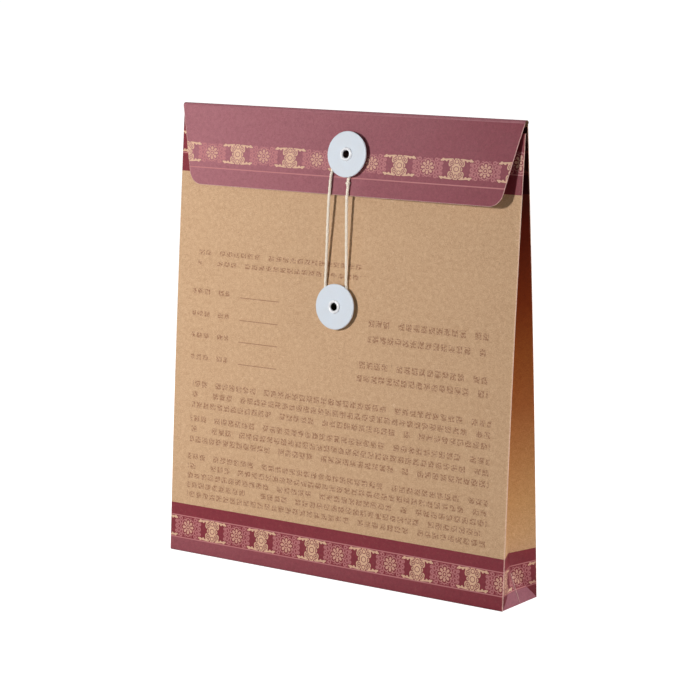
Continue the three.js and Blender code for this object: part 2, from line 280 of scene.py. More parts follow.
def border_group():
    """Node group: a place along the border and across it in, two ink masks out."""
    tree = bpy.data.node_groups.new("border print", "ShaderNodeTree")
    for name in ("Along", "Across"):
        tree.interface.new_socket(name, in_out="INPUT", socket_type="NodeSocketFloat")
    for name in ("Cross", "Roundel"):
        tree.interface.new_socket(name, in_out="OUTPUT", socket_type="NodeSocketFloat")
    net = Net(tree)
    source = net.node("NodeGroupInput")
    sink = net.node("NodeGroupOutput")
    along, across = Value(net, source.outputs[0]), Value(net, source.outputs[1])
    y = abs(across)

    x = abs(along.wrapped(MOTIF_PITCH))
    body = (x + y) * 0.7071 - 2.9
    for cx, cy, radius in ((3.0, 2.9, 1.9), (3.1, 4.5, 1.6), (0.7, 4.7, 1.4)):
        body = body.least(to_point(net, x, y, cx, cy) - radius)
    veins = to_ring(net, x, y, 0, 0, 1.5)
    for cx, cy, radius in ((2.9, 3.2, 1.2), (0.0, 4.3, 1.1), (2.4, 5.9, 0.9), (3.4, 0.6, 0.8), (2.9, 3.2, 0.35)):
        veins = veins.least(to_ring(net, x, y, cx, cy, radius))
    cross = body.below(0.0, SOFT) * veins.above(0.2, SOFT)
    arm = to_line(net, x, y, 3.4, 5.6, 7.6, 5.2) - 0.42
    for cx, cy, radius in ((6.3, 4.9, 0.7), (8.4, 5.2, 0.85), (9.5, 4.8, 0.5)):
        arm = arm.least(to_point(net, x, y, cx, cy) - radius)
    cross = cross.most(arm.below(0.0, SOFT))

    x = abs((along - MOTIF_PITCH / 2).wrapped(MOTIF_PITCH))
    radius = to_point(net, x, y, 0, 0)
    angle = net.math("ARCTAN2", y, x)
    turned = angle.wrapped(math.pi / 4) * radius / 0.8
    grown = (radius - 3.0) / 1.05
    petal = net.math("SQRT", grown * grown + turned * turned) - 1.0
    waves = net.math("COSINE", angle * 8.0)
    roundel = petal.least(abs(radius - 1.5) - 0.3).least(radius - 0.65)
    between = (angle + math.pi / 8).wrapped(math.pi / 4) * radius
    roundel = roundel.least(net.math("SQRT", between * between + (radius - 4.0) * (radius - 4.0)) - 0.36)
    roundel = roundel.least(abs(radius - waves * 0.25 - 4.9) - 0.3)
    rings = ((6.7, 2.3, 1.1, 0.36), (5.2, 4.8, 0.85, 0.34), (8.2, 0.0, 0.8, 0.38), (8.6, 2.9, 0.6, 0.3))
    for cx, cy, ring, half_width in rings:
        roundel = roundel.least(to_ring(net, x, y, cx, cy, ring) - half_width)
    scrolls = abs(net.noise(net.vector(x, y), 0.7, 0.0) - 0.5).below(0.05, 0.03)
    scrolls = scrolls * radius.above(4.9, 0.3) * (x * 0.62).most(y).below(5.6, 0.4)
    roundel = roundel.below(0.0, SOFT).most(scrolls)

    inside = y.below(6.3, 0.2)
    net.put(sink.inputs[0], cross.most(radius.below(4.3, 1.4) * roundel * 0.6) * inside)
    net.put(sink.inputs[1], roundel * inside)
    return tree


BORDER = border_group()

# Rows of plain marks stand where the lettering is: left and right end, first row, pitch, rows, half height
MARK_ROWS = (
    (-98, 14, 173.2, 5.8, 2, 1.35),
    (20, 97, 143.5, 8.5, 2, 1.9),
    (14, 98, 120.5, 7.3, 2, 1.9),
    (-99, 101, 98.0, 6.0, 3, 1.75),
    (-100, 101, 78.0, 6.0, 3, 1.75),
    (-101, 101, 56.0, 5.5, 5, 1.65),
)
FORM_ROWS = (151.0, 138.3, 126.0, 113.5)  # short labels with a ruled line beside them
MARK_PITCH = 4.9


def mark_mask(net, place, s, t):
    """Broken rows of shapeless marks, and the four ruled lines of the form."""
    strokes = net.noise(place, 1.15, 1.0, 0.4, 0.6).above(0.5, 0.12)
    total = None
    rows = [*MARK_ROWS, *((-101, -75, at, 8.0, 1, 1.5) for at in FORM_ROWS)]
    for left, right, first, pitch, count, half in rows:
        row = (first + pitch / 2 - t) / pitch
        line = net.math("FLOOR", row)
        off = abs(net.math("FRACT", row) - 0.5) * pitch
        column = (s + line * 1.7) / MARK_PITCH
        random = net.node("ShaderNodeTexWhiteNoise", noise_dimensions="2D")
        net.put(random.inputs["Vector"], net.vector(net.math("FLOOR", column), line))
        shown = Value(net, random.outputs["Value"]).above(0.1, 0.01)
        beside = abs(net.math("FRACT", column) - 0.5).below(0.39, 0.06)
        inside = s.above(left, 0.3) * s.below(right, 0.3) * row.above(0, 0.01) * row.below(count, 0.01)
        total = joined(total, off.below(half, 0.3) * inside * shown * beside * strokes)
    for at in FORM_ROWS:
        total = joined(total, abs(t - at + 1.4).below(0.22, 0.25) * abs(s + 54).below(13.5, 0.3))
    return total


KRAFT = linear(212, 177, 143)
KRAFT_DARK = linear(172, 135, 99)
KRAFT_PALE = linear(236, 212, 184)
KRAFT_CLOUD = linear(202, 166, 130)
KRAFT_FLECK = linear(138, 104, 74)
INK = linear(128, 46, 56)
MARGIN_INK = linear(152, 84, 92)
INK_DEEP = linear(70, 22, 30)
FOOT_SHEEN_INK = linear(156, 96, 108)
FLAP_INK = linear(162, 103, 111)
FLAP_SHADE_INK = linear(128, 41, 57)
GOLD = linear(220, 182, 150)
ROSE = linear(190, 124, 124)
TYPE = linear(136, 92, 68)
WORN = linear(232, 196, 182)

# Painted shade: the side folds get browner and deeper with height, where they close up and hold little light: share
# of the height, tone
FOLD_SHADE_TONES = (
    (0.0, (0.56, 0.36, 0.42)),
    (1.0, (0.12, 0.04, 0.04)),
    (0.07, (0.86, 0.78, 0.8)),
    (0.14, (0.95, 0.83, 0.66)),
    (0.21, (0.9, 0.73, 0.49)),
    (0.31, (0.79, 0.54, 0.31)),
    (0.42, (0.63, 0.3, 0.125)),
    (0.52, (0.56, 0.23, 0.065)),
    (0.63, (0.42, 0.1, 0.016)),
    (0.8, (0.27, 0.03, 0.01)),
    (0.88, (0.17, 0.045, 0.04)),
)


def paper(
    name,
    source="UV",
    bands=(),
    borders=(),
    rules=(),
    ink=INK,
    aside=None,
    phase=0.0,
    pitch=MOTIF_PITCH,
    rise=1.0,
    marks=False,
    worn=None,
    deep=False,
    foot=False,
):
    """Kraft board, printed where bands, borders or rules are given as heights up the sheet.

    aside is the ink towards the right, painted shade where the light falls off; phase, pitch and rise place and scale
    the border, marks adds the rows of type, worn gives a mask of rubbed places, deep adds the tones of the side
    folds, painted shade that darkens and browns them with height, and foot those of a gusset's foot: a painted sheen
    below its lower rule and painted shade along its centre crease.
    """
    material, net, shader = new_material(name)
    coordinates = net.node("ShaderNodeTexCoord")
    place = net.node("ShaderNodeVectorMath", operation="SCALE")
    net.put(place.inputs[0], coordinates.outputs[source])
    place.inputs["Scale"].default_value = 1000.0 if source == "Object" else 10.0
    place = place.outputs[0]  # in millimetres from here on
    s, t, _ = net.split(place)

    # Fibre: fine grain, soft mottling, and a few darker and paler flecks
    grain = net.noise(place, 1.7, 4.0, 0.65)
    felt = net.noise(place, 0.5, 3.0, 0.6, 0.8)
    cloud = net.noise(place, 0.045, 3.0, 0.5)
    fleck = net.noise(place, 0.75, 1.0, 0.5, 1.0)
    colour = net.mix((grain * 0.65 + felt * 0.35).above(0.5, 0.3), KRAFT_DARK, KRAFT)
    colour = net.mix(cloud.above(0.5, 0.5) * 0.3, colour, KRAFT_CLOUD)
    colour = net.mix(fleck.above(0.76, 0.03) * 0.5, colour, KRAFT_FLECK)
    colour = net.mix(fleck.below(0.26, 0.04) * 0.3, colour, KRAFT_PALE)
    rough = 0.82 + (grain - 0.5) * 0.2
    height = grain * 0.7 + felt * 0.3

    if marks:
        faded = net.noise(place, 0.9, 2.0).above(0.3, 0.4)
        colour = net.mix(mark_mask(net, place, s, t) * faded * 0.8, colour, TYPE)
    if bands:
        inked = None
        for low, high in bands:
            edge = t + (grain - 0.5) * 0.12
            inked = joined(inked, edge.above(low, SOFT) * edge.below(high, SOFT))
        dust = (grain * 0.6 + fleck * 0.4).below(0.36, 0.16) * 0.14
        tone = net.mix((cloud * 0.8 + felt * 0.2).above(0.5, 0.6), ink, tuple(c * 1.12 for c in ink[:3]) + (1.0,))
        if marks:
            tone = net.mix(t.below(7.9, 0.6) * (s + cloud * 40.0).below(30.0, 200.0) * 0.8, tone, MARGIN_INK)
        # Painted shade: the ink turns darker towards the right, where the light falls off
        if aside:
            tone = net.mix((s + cloud * 60.0).above(45.0, 220.0) * 0.8, tone, aside)
        # Painted sheen: a paler, pinker ink on the foot's plain margin below its lower rule
        if foot:
            tone = net.mix(t.below(7.4, 0.5) * 0.85, tone, FOOT_SHEEN_INK)
        tone = net.mix(dust, tone, GOLD)
        tone = net.mix((grain * 0.6 + felt * 0.4).below(0.47, 0.24) * 0.34, tone, INK_DEEP)
        gold = rose = line = None
        for middle in borders:
            drawn = net.node("ShaderNodeGroup", node_tree=BORDER)
            net.put(drawn.inputs[0], (s - phase) * (MOTIF_PITCH / pitch))
            net.put(drawn.inputs[1], (t - middle) * rise)
            gold = joined(gold, Value(net, drawn.outputs["Cross"]))
            rose = joined(rose, Value(net, drawn.outputs["Roundel"]))
        for at in rules:
            line = joined(line, abs(t - at).below(0.3, 0.2))
        patchy = (grain * 0.7 + cloud * 0.3).above(0.34, 0.3)
        if borders:
            tone = net.mix(rose * patchy * 0.75, tone, ROSE)
            tone = net.mix(gold * patchy * 0.9, tone, GOLD)
        if rules:
            tone = net.mix(line * 0.85, tone, ROSE)
        colour = net.mix(inked, colour, tone)
        rough = rough - inked * 0.34
        height = height * (1.0 - inked * 0.45)

    if foot:
        # Painted shade: a dark line down the foot's centre crease, with a pale line beside it
        crease = s - (WIDTH / 2 + FOOT_REACH)
        colour = net.mix(abs(crease).below(0.2, 0.24) * 0.6, colour, INK_DEEP)
        colour = net.mix(abs(crease - 0.5).below(0.16, 0.24) * 0.4, colour, WORN)
    if deep:
        # Painted shade: the fold tones darken the gusset print towards the top, where the fold closes up
        ramp = net.node("ShaderNodeValToRGB")
        for k, (at, tone) in enumerate(FOLD_SHADE_TONES):
            stop = ramp.color_ramp.elements[k] if k < 2 else ramp.color_ramp.elements.new(at)
            stop.position = at
            stop.color = (*tone, 1.0)
        net.put(ramp.inputs[0], t / PANEL_HEIGHT)
        colour = net.mix(1.0, colour, ramp.outputs[0], "MULTIPLY")
    if worn:
        colour = net.mix(worn(net, s, t) * grain.above(0.42, 0.3) * 0.65, colour, WORN)

    net.put(shader.inputs["Base Color"], colour)
    net.put(shader.inputs["Roughness"], rough)
    shader.inputs["Specular IOR Level"].default_value = 0.22
    add_bump(net, shader, height, 0.35, 0.00012)
    return material


# Heights of the print up the sheet, in millimetres
BOTTOM_BAND = (-3.0, 27.8)
BOTTOM_BORDER = 14.3
BOTTOM_RULES = (7.9, 20.7)
TOP_BAND = (218.3, 260.0)
TOP_BORDER = 235.0
TOP_RULES = (228.6,)


def worn_creases(net, s, t):
    """Rubbed line along the two side creases."""
    return abs(abs(s) - WIDTH / 2).below(0.3, 0.3)


def worn_flap(net, s, t):
    """Rubbed rim of the flap: slanted sides, round corners and free edge."""
    slant = (abs(s) - WIDTH / 2 - t * (FLAP_TAPER / FLAP_LENGTH)) * -CORNER_NORMAL[0]
    out = (abs(s) - CORNER_X).most(0.0)
    low = (CORNER_T - t).most(0.0)
    round_corner = FLAP_CORNER - net.math("SQRT", out * out + low * low)
    above = (t - CORNER_T + FLAP_CORNER * CORNER_NORMAL[1]).most(0.0) * 100.0
    return slant.least(t + FLAP_LENGTH).least(round_corner + above).below(0.25, 0.25)


PRINTS = dict(
    bands=(BOTTOM_BAND, TOP_BAND),
    borders=(BOTTOM_BORDER, TOP_BORDER),
    rules=BOTTOM_RULES + TOP_RULES,
    worn=worn_creases,
)
front_print = paper("kraft front", phase=-11.8, marks=True, **PRINTS)
back_print = paper("kraft back", phase=-11.8, **PRINTS)
# The gusset print carries the painted shade of the side folds
gusset_print = paper("kraft gusset", phase=116.4, deep=True, **PRINTS)
foot_print = paper("kraft foot", phase=116.4, foot=True, **PRINTS)
flap_print = paper(
    "kraft flap",
    bands=((-60.0, 20.0),),
    borders=(-25.6,),
    rules=(-34.1,),
    ink=FLAP_INK,
    phase=1.2,
    pitch=36.6,
    rise=1.1,
    aside=FLAP_SHADE_INK,
    worn=worn_flap,
)
fold_print = paper("kraft fold", bands=((-60.0, 60.0),), ink=FLAP_INK)
base_print = paper("kraft base", source="Object", bands=((-60.0, 60.0),))
kraft_inside = paper("kraft inside")
kraft_solid = paper("kraft solid", source="Object")


def cut_edge(name, dark, pale):
    """The board's cut edge, with its fibres along it."""
    material, net, shader = new_material(name)
    coordinates = net.node("ShaderNodeTexCoord")
    fibre = net.noise(coordinates.outputs["Object"], 2600.0, 3.0, 0.6)
    net.put(shader.inputs["Base Color"], net.mix(fibre, dark, pale))
    net.put(shader.inputs["Roughness"], 0.85 + (fibre - 0.5) * 0.2)
    return material


kraft_edge = cut_edge("kraft cut edge", linear(196, 152, 128), linear(232, 200, 178))
flap_edge = cut_edge("flap cut edge", linear(178, 116, 118), linear(222, 172, 168))
# Painted shade: the fold strip's cut edges are dark crimson, as they sit in shade
shaded_fold_edge = cut_edge("fold cut edge in painted shade", linear(58, 24, 28), linear(92, 44, 48))


def washer_card():
    """Smooth white card, faintly blue, with a fine grain and soft bluer clouds."""
    material, net, shader = new_material("washer card")
    coordinates = net.node("ShaderNodeTexCoord")
    place = coordinates.outputs["Object"]
    grain = net.noise(place, 2200.0, 3.0, 0.6)
    cloud = net.noise(place, 160.0, 2.0)
    colour = net.mix(grain.above(0.5, 0.8), linear(201, 207, 213), linear(212, 218, 226))
    colour = net.mix(cloud.above(0.55, 0.5) * 0.3, colour, linear(206, 219, 234))
    net.put(shader.inputs["Base Color"], colour)
    net.put(shader.inputs["Roughness"], 0.5 + (grain - 0.5) * 0.2)
    add_bump(net, shader, grain, 0.25, 0.00006)
    return material


def eyelet_paint():
    """White-plated metal, lightly rubbed."""
    material, net, shader = new_material("eyelet paint")
    coordinates = net.node("ShaderNodeTexCoord")
    rub = net.noise(coordinates.outputs["Object"], 900.0, 3.0, 0.6)
    colour = net.mix(rub.above(0.6, 0.3) * 0.4, linear(236, 236, 238), linear(196, 198, 204))
    net.put(shader.inputs["Base Color"], colour)
    net.put(shader.inputs["Roughness"], 0.28 + rub * 0.2)
    net.put(shader.inputs["Metallic"], rub.above(0.62, 0.2) * 0.5)
    return material


def eyelet_bore_shade():
    """Painted shade: the eyelet's dark inside."""
    material, net, shader = new_material("eyelet bore painted shade")
    coordinates = net.node("ShaderNodeTexCoord")
    rub = net.noise(coordinates.outputs["Object"], 900.0, 3.0, 0.6)
    net.put(shader.inputs["Base Color"], net.mix(rub, linear(20, 19, 20), linear(44, 42, 44)))
    net.put(shader.inputs["Roughness"], 0.5 + rub * 0.2)
    return material


def cotton():
    """Natural twisted cotton: fine fibre across the plies, and painted shade in the hollows between them."""
    material, net, shader = new_material("cotton string")
    coordinates = net.node("ShaderNodeTexCoord")
    along, around, _ = net.split(coordinates.outputs["UV"])
    lay = net.math("SINE", (along + around) * (6 * math.pi))
    fibre = net.noise(net.vector(along * 9.0, around * 14.0), 3.0, 3.0, 0.6)
    tone = net.mix(fibre.above(0.5, 0.7), linear(238, 224, 202), linear(255, 250, 238))
    # Painted shade in the hollows between the plies
    tone = net.mix(lay.below(-0.5, 0.7) * 0.5, tone, linear(150, 112, 76))
    net.put(shader.inputs["Base Color"], tone)
    net.put(shader.inputs["Roughness"], 0.9 + (fibre - 0.5) * 0.15)
    shader.inputs["Sheen Weight"].default_value = 0.3
    add_bump(net, shader, fibre, 0.5, 0.0001)
    return material


washer_material = washer_card()
eyelet_material = eyelet_paint()
bore_shade_material = eyelet_bore_shade()
cotton_material = cotton()

# Shapes of the sheets: each place is (across, up, off the middle of the board), all in millimetres


def smooth(x):
    """An even step from 0 to 1."""
    x = min(max(x, 0.0), 1.0)
    return x * x * (3 - 2 * x)


def panel_bow(x, up):
    """How far a panel swells outwards, most at its side edges half way up."""
    rise = math.sin(math.pi * min(max(up / PANEL_HEIGHT, 0.0), 1.0))
    side = min(abs(x) / (WIDTH / 2), 1.0)
    return rise * (0.3 + 0.75 * side * side) + 0.12 * math.sin(x * 0.045 + up * 0.021) * rise


def leaf_point(facing, x, up, off):
    """facing is -1 on the front panel and 1 on the back panel."""
    y = CREASE_Y - up * math.sin(LEAN) + off * math.cos(LEAN)
    z = CREASE_Z + up * math.cos(LEAN) + off * math.sin(LEAN)
    return Vector((x, facing * y, z)) * MM


def around_edge(distance, start, off):
    """Runs flat to start, then turns inwards round a crease. Gives the place along and the offset."""
    if distance <= start:
        return distance, off
    angle = (distance - start) / CREASE_BEND
    return (
        start + (CREASE_BEND + off) * math.sin(angle),
        -CREASE_BEND + (CREASE_BEND + off) * math.cos(angle),
    )


QUARTER = CREASE_BEND * math.pi / 2
HINGE_X = WIDTH / 2 - BOARD / 2
FLAT_X = HINGE_X - CREASE_BEND
SEAM_INSET = PLAIN_INSET + GLUE + BOARD


def panel_place(facing, left_crease=True):
    def place(s, t, off):
        side = 1 if s >= 0 else -1
        if side < 0 and not left_crease:
            x, across_off = s, off
        else:
            reach, across_off = around_edge(abs(s), FLAT_X, off)
            x = side * reach
        drop, up_off = around_edge(CREASE_BEND - t, 0.0, 0.0)
        lift = math.cos(min(max((CREASE_BEND - t) / CREASE_BEND, 0.0), math.pi / 2))
        up = CREASE_BEND - drop - off * (1 - lift)
        return leaf_point(facing, x, up, across_off * max(lift, 0.0) + up_off + panel_bow(x, up))

    return place


def fold_angle(up, inset):
    """How far a gusset half is folded in at a height, so that the two meet in the middle."""
    width = CREASE_Y - inset
    reach = (CREASE_Y - up * math.sin(LEAN)) / math.cos(LEAN) - inset
    return math.acos(min(1.0, reach / width))


def gusset_point(facing, side, inset, across, up, off):
    """across runs from the side crease to the centre crease, side is -1 on the left and 1 on the right."""
    angle = fold_angle(max(up, 0.0), inset)
    width = CREASE_Y - inset
    x = HINGE_X - across * math.sin(angle) + off * math.cos(angle)
    inwards = inset + across * math.cos(angle) + off * math.sin(angle)
    bow = panel_bow(HINGE_X, up) * (1 - across / width)
    return leaf_point(facing, side * x, up, -inwards + bow)


def gusset_place(facing, side, inset):
    def place(s, t, off):
        return gusset_point(facing, side, inset, s, t, off)

    return place


def flap_point(x, down, off):
    out = FOLD_RADIUS + off
    y = FOLD_Y - out * math.cos(FLAP_TILT) - down * math.sin(FLAP_TILT)
    z = FOLD_Z + out * math.sin(FLAP_TILT) - down * math.cos(FLAP_TILT)
    return Vector((x, y, z)) * MM


LIFT_RIGHT = 5.8
LIFT_LEFT = -2.1
LEVEL = 8  # the flap stays flat this far from the middle of its button


def flap_lift(x, down):
    """The flap lies near the panel on the left and lifts away on the right, level round the button."""
    share = max(down, 0.0) / FLAP_LENGTH
    aside = max(abs(x - UPPER[0]) - LEVEL, 0.0) / (WIDTH / 2 - UPPER[0] - LEVEL)
    lift = LIFT_RIGHT if x > UPPER[0] else LIFT_LEFT
    return share**0.9 * (lift * aside) + 0.08 * math.sin(x * 0.06) * share


def flap_place(s, t, off):
    return flap_point(s, -t, off + flap_lift(s, -t))


def fold_place(s, t, off):
    """t runs along the arc from the back panel, in millimetres of the middle of the board."""
    angle = LEAN + t / FOLD_RADIUS
    out = FOLD_RADIUS + off
    return Vector((s, FOLD_Y + out * math.cos(angle), FOLD_Z + out * math.sin(angle))) * MM


def place_on(point_of, x, along, height):
    """A button's own frame on a sheet: its columns are across, up and out, its origin on the outer face."""
    origin = point_of(x, along, BOARD / 2 + height)
    out = (point_of(x, along, BOARD / 2 + height + 1) - origin).normalized()
    across = Vector((1, 0, 0))
    up = out.cross(across)
    frame_matrix = Matrix((across, up, out)).transposed().to_4x4()
    frame_matrix.translation = origin
    return frame_matrix


# Building meshes


def steps(*stops):
    """Values from stop to stop: value, count, value, count, value."""
    values = [stops[0]]
    for i in range(1, len(stops), 2):
        count, end = stops[i], stops[i + 1]
        start = values[-1]
        values += [start + (end - start) * (k + 1) / count for k in range(count)]
    return values


def cells(columns, rows, corner, skip=None):
    """Quads of corner(i, j), column by column."""
    quads = []
    for i in range(columns):
        for j in range(rows):
            if not (skip and skip(i, j)):
                quads.append([corner(a, b) for a, b in ((i, j), (i + 1, j), (i + 1, j + 1), (i, j + 1))])
    return quads


def grid(across, up, warp=None, hole=None):
    """Quads of (s, t) corners. A hole is the (s, t) of its middle."""
    warp = warp or (lambda s, t: (s, t))
    half = HOLE_PATCH

    def in_patch(i, j):
        middle_x = (across[i] + across[i + 1]) / 2
        middle_y = (up[j] + up[j + 1]) / 2
        return abs(middle_x - hole[0]) < half and abs(middle_y - hole[1]) < half

    skip = in_patch if hole else None
    quads = cells(len(across) - 1, len(up) - 1, lambda a, b: warp(across[a], up[b]), skip)
    if hole:
        cx, cy = hole
        inner_x = [s for s in across if abs(s - cx) < half + 1e-6]
        inner_y = [t for t in up if abs(t - cy) < half + 1e-6]
        loop = [(s, inner_y[0]) for s in inner_x[:-1]]
        loop += [(inner_x[-1], t) for t in inner_y[:-1]]
        loop += [(s, inner_y[-1]) for s in reversed(inner_x[1:])]
        loop += [(inner_x[0], t) for t in reversed(inner_y[1:])]
        rings = 3
        layers = []
        for k in range(rings + 1):
            layer = []
            for s, t in loop:
                angle = math.atan2(t - cy, s - cx)
                ring = (cx + HOLE_RADIUS * math.cos(angle), cy + HOLE_RADIUS * math.sin(angle))
                share = k / rings
                layer.append((s + (ring[0] - s) * share, t + (ring[1] - t) * share))
            layers.append(layer)
        count = len(loop)
        for k in range(rings):
            for i in range(count):
                n = (i + 1) % count
                quads.append([layers[k][i], layers[k][n], layers[k + 1][n], layers[k + 1][i]])
    return quads


def finish_mesh(name, vertices, faces, materials, indices, uvs=None, angle=40):
    mesh = bpy.data.meshes.new(name)
    mesh.from_pydata([tuple(v) for v in vertices], [], faces)
    for material in materials:
        mesh.materials.append(material)
    mesh.polygons.foreach_set("material_index", indices)
    mesh.polygons.foreach_set("use_smooth", [True] * len(faces))
    mesh.set_sharp_from_angle(angle=math.radians(angle))
    if uvs:
        layer = mesh.uv_layers.new(name="print")
        flat = []
        for face in faces:
            for vertex in face:
                flat += uvs[vertex]
        layer.data.foreach_set("uv", flat)
    mesh.validate()
    made = bpy.data.objects.new(name, mesh)
    bpy.context.collection.objects.link(made)
    return made


def thick(name, quads, place, materials, print_at=None):
    """A board of two skins and its cut edges, from quads of (s, t) corners."""
    print_at = print_at or (lambda s, t: (s, t))
    index = {}
    corners = []
    faces2d = []
    for quad in quads:
        face = []
        for corner in quad:
            key = (round(corner[0], 5), round(corner[1], 5))
            if key not in index:
                index[key] = len(corners)
                corners.append(corner)
            if index[key] not in face:
                face.append(index[key])
        if len(face) > 2:
            faces2d.append(face)
    count = len(corners)
    vertices = [place(s, t, BOARD / 2) for s, t in corners]
    vertices += [place(s, t, -BOARD / 2) for s, t in corners]
    sample = faces2d[len(faces2d) // 2]
    a, b, c = (vertices[sample[k]] for k in range(3))
    outwards = (b - a).cross(c - a).dot(vertices[sample[0]] - vertices[sample[0] + count]) > 0
    if not outwards:
        faces2d = [list(reversed(face)) for face in faces2d]
    edges = {}
    for face in faces2d:
        for k, first in enumerate(face):
            edges[(first, face[(k + 1) % len(face)])] = True
    faces = [list(face) for face in faces2d]
    indices = [0] * len(faces2d)
    faces += [[v + count for v in reversed(face)] for face in faces2d]
    indices += [1] * len(faces2d)
    for first, second in edges:
        if (second, first) not in edges:
            faces.append([second, first, first + count, second + count])
            indices.append(2)
    uvs = [tuple(v / 10 for v in print_at(s, t)) for s, t in corners] * 2
    return finish_mesh(name, vertices, faces, materials, indices, uvs)


def lathe(name, profile, frame_matrix, materials, dark=(), segments=96, wobble=0.0):
    """Turns (radius, height) in millimetres round the frame's third axis.

    dark names the profile's steps of the second material, and wobble makes the rim a little uneven.
    """
    vertices = []
    faces = []
    indices = []
    count = len(profile)
    for i in range(segments):
        angle = 2 * math.pi * i / segments
        uneven = wobble * (math.sin(2 * angle + 0.6) + 0.5 * math.sin(3 * angle))
        for radius, height in profile:
            r = radius * (1 + uneven * smooth((radius - 9) / 3))
            vertices.append(frame_matrix @ (Vector((r * math.cos(angle), r * math.sin(angle), height)) * MM))
    for i in range(segments):
        n = (i + 1) % segments
        for k in range(count):
            m = (k + 1) % count
            faces.append([i * count + k, n * count + k, n * count + m, i * count + m])
            indices.append(1 if k in dark else 0)
    return finish_mesh(name, vertices, faces, materials, indices, angle=50)


def dress(piece, body, node):
    """Puts the piece in its node's place, on its body where it doesn't blend between two."""
    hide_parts(node)
    if body:
        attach(piece, body)


# Panels

EDGE_S = FLAT_X + QUARTER
LOWER_UP = PANEL_HEIGHT - LOWER[1]
patch_x = (LOWER[0] - HOLE_PATCH, 8, LOWER[0] + HOLE_PATCH)
patch_up = (LOWER_UP - HOLE_PATCH, 8, LOWER_UP + HOLE_PATCH)
across_front = steps(-EDGE_S, 5, -FLAT_X, 30, *patch_x, 30, FLAT_X, 5, EDGE_S)
up_front = steps(CREASE_BEND - QUARTER, 5, CREASE_BEND, 44, *patch_up, 30, FRONT_TOP)
front_quads = grid(across_front, up_front, hole=(LOWER[0], LOWER_UP))
front_board = thick("front_board", front_quads, panel_place(-1), [front_print, kraft_inside, kraft_edge])
dress(front_board, "front", "front_panel")

across_back = steps(-WIDTH / 2, 60, FLAT_X, 5, EDGE_S)
up_back = steps(CREASE_BEND - QUARTER, 5, CREASE_BEND, 70, PANEL_HEIGHT)
back_board = thick(
    "back_board",
    grid(across_back, up_back),
    panel_place(1, left_crease=False),
    [back_print, kraft_inside, kraft_edge],
)
dress(back_board, "back", "back_panel")

# Glue strip inside the back panel's left edge, turned at its crease into the left gusset


def seam_place(s, t, off):
    reach, turned = around_edge(s, FLAT_X, off)
    return leaf_point(1, -reach, t, turned - (BOARD + GLUE) + panel_bow(reach, t))


SEAM_START = WIDTH / 2 - BOARD - FIT - SEAM_WIDTH
seam_strip = thick(
    "glue_strip",
    grid(steps(SEAM_START, 5, FLAT_X, 5, EDGE_S), steps(SEAM_MARGIN, 60, FRONT_TOP - SEAM_MARGIN)),
    seam_place,
    [kraft_inside, kraft_inside, kraft_edge],
)
dress(seam_strip, "back", "side_seam_tab")

# Gusset halves: narrow at the mouth where they fold in, cut off slantwise at the foot

GUSSET_ROWS = 60
GUSSET_COLS = 10


def gusset(facing, leaf, slope, side, word, inset):
    width = CREASE_Y - inset

    def corner(a, b):
        across = width * a / GUSSET_COLS
        low = across + CREASE_BEND * 0.4
        high = FRONT_TOP + slope * (1 - across / width)
        return across, low + (high - low) * b / GUSSET_ROWS

    half = thick(
        f"gusset_board_{word}_{leaf}",
        cells(GUSSET_COLS, GUSSET_ROWS, corner),
        gusset_place(facing, side, inset),
        [gusset_print, kraft_inside, kraft_edge],
        print_at=lambda s, t: (WIDTH / 2 + (s if facing < 0 else 2 * width - s), t),
    )
    dress(half, None, f"gusset_{word}_{leaf}")
    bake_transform(half)


for facing, leaf, slope in ((-1, "front", 0), (1, "back", GUSSET_SLOPE)):
    gusset(facing, leaf, slope, 1, "right", PLAIN_INSET)
    gusset(facing, leaf, slope, -1, "left", SEAM_INSET if facing > 0 else PLAIN_INSET)

# Feet: the triangle under each gusset, leaning in, with the trace of the centre crease


FOOT_LEAN = math.radians(20.3)


def foot_place(side):
    def place(s, t, off):
        along = abs(s)
        across = max(FOOT_REACH - along, 0.0)
        top = gusset_point(-1, side, PLAIN_INSET, across, across + 0.2, 0.0)
        if s > 0:
            top.y = -top.y
        bottom = Vector((side * HINGE_X * MM, top.y, CREASE_Z * MM))
        share = t / max(across, 0.05)
        point = bottom.lerp(top, min(max(share, 0.0), 1.0))
        dent = -0.35 * math.exp(-((s / 0.7) ** 2)) * smooth(share * 2)
        out = Vector((side * math.cos(FOOT_LEAN), 0, math.sin(FOOT_LEAN)))
        return point + out * ((off + dent) * MM)

    return place


FOOT_ROWS = 12
foot_stops = steps(-FOOT_REACH, 10, -2.1, 6, 0.0, 6, 2.1, 10, FOOT_REACH)


def foot_corner(a, b):
    at = foot_stops[a]
    return at, max(FOOT_REACH - abs(at), 0.05) * b / FOOT_ROWS


for side, word in ((1, "right"), (-1, "left")):
    foot_board = thick(
        f"foot_board_{word}",
        cells(len(foot_stops) - 1, FOOT_ROWS, foot_corner),
        foot_place(side),
        [foot_print, kraft_inside, kraft_edge],
        print_at=lambda s, t: (WIDTH / 2 + FOOT_REACH + s, t),
    )
    dress(foot_board, f"foot_{word}", f"gusset_foot_{word}")

# Closure flap and its fold


def flap_half_width(t):
    """Half the flap's width at a height t below the fold, with its round lower corners."""
    if t < CORNER_T - FLAP_CORNER * CORNER_NORMAL[1]:
        return CORNER_X + math.sqrt(max(FLAP_CORNER**2 - (t - CORNER_T) ** 2, 0.0))
    return WIDTH / 2 + t * FLAP_TAPER / FLAP_LENGTH


FREE_X = 60  # nearer to the middle than this, the mesh keeps its columns straight


def flap_warp(s, t):
    """Draws the outer columns in to the flap's outline."""
    if abs(s) <= FREE_X:
        return s, t
    share = (abs(s) - FREE_X) / (WIDTH / 2 - FREE_X)
    return math.copysign(FREE_X + share * (flap_half_width(t) - FREE_X), s), t


